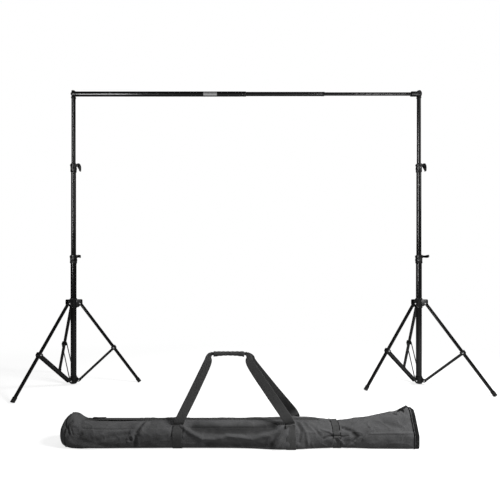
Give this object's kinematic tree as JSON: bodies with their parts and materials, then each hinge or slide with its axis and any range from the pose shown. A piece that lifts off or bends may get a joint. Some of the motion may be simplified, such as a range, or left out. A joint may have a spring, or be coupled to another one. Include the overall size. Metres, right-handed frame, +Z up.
{
  "type": "background support system",
  "caption": "Freestanding background support: folding light stands with sliding clamped columns, a telescopic crossbar between their tops and a soft carry bag on the floor.",
  "frame": {"origin": "on the floor under the middle of the whole set, stands and bag", "axes": "+X along the crossbar from the left stand to the right one, +Z up, the carry bag lies towards -Y"},
  "size_m": [2.8006, 1.3702, 1.88],
  "materials": {
    "black_tube": "black painted aluminium tube, satin",
    "black_casting": "black moulded nylon, fine grained",
    "black_plastic": "black moulded plastic, half gloss",
    "black_rubber": "black rubber, dull",
    "strap_steel": "black coated steel strap",
    "bag_cloth": "dark grey coated woven nylon",
    "bag_webbing": "dark grey woven webbing",
    "zip_metal": "dull nickel zip slider"
  },
  "bodies": {
    "left_base": {"left_lower_tube": "black_tube", "left_hub": "black_casting", "left_lower_lock": "black_casting"},
    "left_middle": {"left_middle_tube": "black_tube", "left_upper_lock": "black_casting"},
    "left_top": {"left_upper_tube": "black_tube", "left_top_stud": "strap_steel"},
    "bar_main": {"bar_left_fitting": "black_casting", "bar_main_tube": "black_tube"},
    "bar_middle": {"bar_middle_tube": "black_tube"},
    "bar_inner": {"bar_inner_tube": "black_tube", "bar_right_fitting": "black_casting"},
    "right_top": {"right_upper_tube": "black_tube", "right_top_stud": "strap_steel"},
    "right_middle": {"right_middle_tube": "black_tube", "right_upper_lock": "black_casting"},
    "right_base": {"right_lower_tube": "black_tube", "right_hub": "black_casting", "right_lower_lock": "black_casting"},
    "bar_main_ring": {"bar_main_bush": "black_plastic"},
    "bar_middle_ring": {"bar_middle_bush": "black_plastic"},
    "left_lower_clamp": {"left_lower_lever": "black_plastic"},
    "left_upper_clamp": {"left_upper_lever": "black_plastic"},
    "left_cap": {"left_cap_nut": "black_plastic"},
    "left_collar": {"left_leg_collar": "black_casting"},
    "left_knob": {"left_collar_knob": "black_plastic"},
    "left_leg_a": {"left_leg_a": "black_tube", "left_foot_a": "black_rubber", "left_leg_bracket_a": "black_plastic"},
    "left_brace_a": {"left_brace_a": "strap_steel"},
    "left_leg_b": {"left_leg_b": "black_tube", "left_foot_b": "black_rubber", "left_leg_bracket_b": "black_plastic"},
    "left_brace_b": {"left_brace_b": "strap_steel"},
    "left_leg_c": {"left_leg_c": "black_tube", "left_foot_c": "black_rubber", "left_leg_bracket_c": "black_plastic"},
    "left_brace_c": {"left_brace_c": "strap_steel"},
    "right_lower_clamp": {"right_lower_lever": "black_plastic"},
    "right_upper_clamp": {"right_upper_lever": "black_plastic"},
    "right_cap": {"right_cap_nut": "black_plastic"},
    "right_collar": {"right_leg_collar": "black_casting"},
    "right_knob": {"right_collar_knob": "black_plastic"},
    "right_leg_a": {"right_leg_a": "black_tube", "right_foot_a": "black_rubber", "right_leg_bracket_a": "black_plastic"},
    "right_brace_a": {"right_brace_a": "strap_steel"},
    "right_leg_b": {"right_leg_b": "black_tube", "right_foot_b": "black_rubber", "right_leg_bracket_b": "black_plastic"},
    "right_brace_b": {"right_brace_b": "strap_steel"},
    "right_leg_c": {"right_leg_c": "black_tube", "right_foot_c": "black_rubber", "right_leg_bracket_c": "black_plastic"},
    "right_brace_c": {"right_brace_c": "strap_steel"},
    "bag": {"bag_body": "bag_cloth", "bag_handle_front": "bag_webbing", "bag_handle_rear": "bag_webbing", "bag_handle_grip": "bag_webbing"},
    "bag_slider": {"bag_zip_slider": "zip_metal"}
  },
  "joints": [
    {"name": "left_middle_slide", "type": "slide", "parent": "left_base", "child": "left_middle", "axis": [0, 0, 1], "range_m": [-0.525, 0.07]},
    {"name": "left_top_slide", "type": "slide", "parent": "left_middle", "child": "left_top", "axis": [0, 0, 1], "range_m": [-0.36, 0.13]},
    {"name": "left_bar_swivel", "type": "hinge", "parent": "left_top", "child": "bar_main", "pos_m": [-1.1356, 0.26989, 1.858], "axis": [0, 0, 1], "range_deg": [-8, 90]},
    {"name": "bar_middle_slide", "type": "slide", "parent": "bar_main", "child": "bar_middle", "axis": [1, 0, 0], "range_m": [-0.475, 0.36]},
    {"name": "bar_inner_slide", "type": "slide", "parent": "bar_middle", "child": "bar_inner", "axis": [1, 0, 0], "range_m": [-0.53, 0.31]},
    {"name": "right_bar_swivel", "type": "hinge", "parent": "bar_inner", "child": "right_top", "pos_m": [1.0744, 0.26989, 1.858], "axis": [0, 0, 1], "continuous": true},
    {"name": "right_top_slide", "type": "slide", "parent": "right_top", "child": "right_middle", "axis": [0, 0, -1], "range_m": [-0.36, 0.13]},
    {"name": "right_middle_slide", "type": "slide", "parent": "right_middle", "child": "right_base", "axis": [0, 0, -1], "range_m": [-0.525, 0.07]},
    {"name": "bar_main_ring_twist", "type": "hinge", "parent": "bar_main", "child": "bar_main_ring", "pos_m": [-0.0623, 0.26989, 1.858], "axis": [1, 0, 0], "range_deg": [0, 90]},
    {"name": "bar_middle_ring_twist", "type": "hinge", "parent": "bar_middle", "child": "bar_middle_ring", "pos_m": [0.4497, 0.26989, 1.858], "axis": [1, 0, 0], "range_deg": [0, 90]},
    {"name": "left_lower_lever_turn", "type": "hinge", "parent": "left_base", "child": "left_lower_clamp", "pos_m": [-1.1356, 0.26989, 0.818], "axis": [1, 0, 0], "range_deg": [0, 180]},
    {"name": "left_upper_lever_turn", "type": "hinge", "parent": "left_middle", "child": "left_upper_clamp", "pos_m": [-1.1356, 0.26989, 1.402], "axis": [1, 0, 0], "range_deg": [0, 180]},
    {"name": "left_cap_turn", "type": "hinge", "parent": "left_top", "child": "left_cap", "pos_m": [-1.1356, 0.26989, 1.874], "axis": [0, 0, 1], "range_deg": [0, 360]},
    {"name": "left_collar_slide", "type": "slide", "parent": "left_base", "child": "left_collar", "axis": [0, 0, 1], "range_m": [0, 0.15908]},
    {"name": "left_knob_turn", "type": "hinge", "parent": "left_collar", "child": "left_knob", "pos_m": [-1.1356, 0.26989, 0.504], "axis": [0.3746, 0.9272, 0], "range_deg": [0, 360]},
    {"name": "left_leg_a_fold", "type": "hinge", "parent": "left_collar", "child": "left_leg_a", "pos_m": [-1.15133, 0.23095, 0.518], "axis": [0.9272, -0.3746, 0], "range_deg": [0, 35.7]},
    {"name": "left_brace_a_fold", "type": "hinge", "parent": "left_base", "child": "left_brace_a", "pos_m": [-1.14871, 0.23744, 0.028], "axis": [0.9272, -0.3746, 0], "range_deg": [-45.36, 0]},
    {"name": "left_leg_b_fold", "type": "hinge", "parent": "left_collar", "child": "left_leg_b", "pos_m": [-1.09401, 0.27574, 0.518], "axis": [-0.1392, 0.9903, 0], "range_deg": [0, 35.7]},
    {"name": "left_brace_b_fold", "type": "hinge", "parent": "left_base", "child": "left_brace_b", "pos_m": [-1.10094, 0.27476, 0.028], "axis": [-0.1392, 0.9903, 0], "range_deg": [-45.36, 0]},
    {"name": "left_leg_c_fold", "type": "hinge", "parent": "left_collar", "child": "left_leg_c", "pos_m": [-1.16145, 0.30299, 0.518], "axis": [-0.788, -0.6157, 0], "range_deg": [0, 35.7]},
    {"name": "left_brace_c_fold", "type": "hinge", "parent": "left_base", "child": "left_brace_c", "pos_m": [-1.15715, 0.29747, 0.028], "axis": [-0.788, -0.6157, 0], "range_deg": [-45.36, 0]},
    {"name": "right_lower_lever_turn", "type": "hinge", "parent": "right_base", "child": "right_lower_clamp", "pos_m": [1.0744, 0.26989, 0.818], "axis": [1, 0, 0], "range_deg": [0, 180]},
    {"name": "right_upper_lever_turn", "type": "hinge", "parent": "right_middle", "child": "right_upper_clamp", "pos_m": [1.0744, 0.26989, 1.402], "axis": [1, 0, 0], "range_deg": [0, 180]},
    {"name": "right_cap_turn", "type": "hinge", "parent": "right_top", "child": "right_cap", "pos_m": [1.0744, 0.26989, 1.874], "axis": [0, 0, 1], "range_deg": [0, 360]},
    {"name": "right_collar_slide", "type": "slide", "parent": "right_base", "child": "right_collar", "axis": [0, 0, 1], "range_m": [0, 0.15908]},
    {"name": "right_knob_turn", "type": "hinge", "parent": "right_collar", "child": "right_knob", "pos_m": [1.0744, 0.26989, 0.504], "axis": [-0.766, 0.6428, 0], "range_deg": [0, 360]},
    {"name": "right_leg_a_fold", "type": "hinge", "parent": "right_collar", "child": "right_leg_a", "pos_m": [1.03494, 0.25553, 0.518], "axis": [0.342, -0.9397, 0], "range_deg": [0, 35.7]},
    {"name": "right_brace_a_fold", "type": "hinge", "parent": "right_base", "child": "right_brace_a", "pos_m": [1.04151, 0.25792, 0.028], "axis": [0.342, -0.9397, 0], "range_deg": [-45.36, 0]},
    {"name": "right_leg_b_fold", "type": "hinge", "parent": "right_collar", "child": "right_leg_b", "pos_m": [1.10658, 0.24289, 0.518], "axis": [0.6428, 0.766, 0], "range_deg": [0, 35.7]},
    {"name": "right_brace_b_fold", "type": "hinge", "parent": "right_base", "child": "right_brace_b", "pos_m": [1.10121, 0.24739, 0.028], "axis": [0.6428, 0.766, 0], "range_deg": [-45.36, 0]},
    {"name": "right_leg_c_fold", "type": "hinge", "parent": "right_collar", "child": "right_leg_c", "pos_m": [1.0817, 0.31125, 0.518], "axis": [-0.9848, 0.1736, 0], "range_deg": [0, 35.7]},
    {"name": "right_brace_c_fold", "type": "hinge", "parent": "right_base", "child": "right_brace_c", "pos_m": [1.08048, 0.30436, 0.028], "axis": [-0.9848, 0.1736, 0], "range_deg": [-45.36, 0]},
    {"name": "bag_lift", "type": "slide", "parent": "left_base", "child": "bag", "axis": [0, 0, 1], "range_m": [0, 0.5]},
    {"name": "bag_zip_run", "type": "slide", "parent": "bag", "child": "bag_slider", "axis": [1, 0, 0], "range_m": [0, 0.84]}
  ],
  "couplings": [
    {"joint": "right_top_slide", "follows": "left_top_slide", "ratio": 1},
    {"joint": "right_middle_slide", "follows": "left_middle_slide", "ratio": 1},
    {"joint": "left_leg_a_fold", "follows": "left_collar_slide", "rad_per_m": 3.9163},
    {"joint": "left_brace_a_fold", "follows": "left_collar_slide", "rad_per_m": -4.9755},
    {"joint": "left_leg_b_fold", "follows": "left_collar_slide", "rad_per_m": 3.9163},
    {"joint": "left_brace_b_fold", "follows": "left_collar_slide", "rad_per_m": -4.9755},
    {"joint": "left_leg_c_fold", "follows": "left_collar_slide", "rad_per_m": 3.9163},
    {"joint": "left_brace_c_fold", "follows": "left_collar_slide", "rad_per_m": -4.9755},
    {"joint": "right_leg_a_fold", "follows": "right_collar_slide", "rad_per_m": 3.9163},
    {"joint": "right_brace_a_fold", "follows": "right_collar_slide", "rad_per_m": -4.9755},
    {"joint": "right_leg_b_fold", "follows": "right_collar_slide", "rad_per_m": 3.9163},
    {"joint": "right_brace_b_fold", "follows": "right_collar_slide", "rad_per_m": -4.9755},
    {"joint": "right_leg_c_fold", "follows": "right_collar_slide", "rad_per_m": 3.9163},
    {"joint": "right_brace_c_fold", "follows": "right_collar_slide", "rad_per_m": -4.9755}
  ]
}
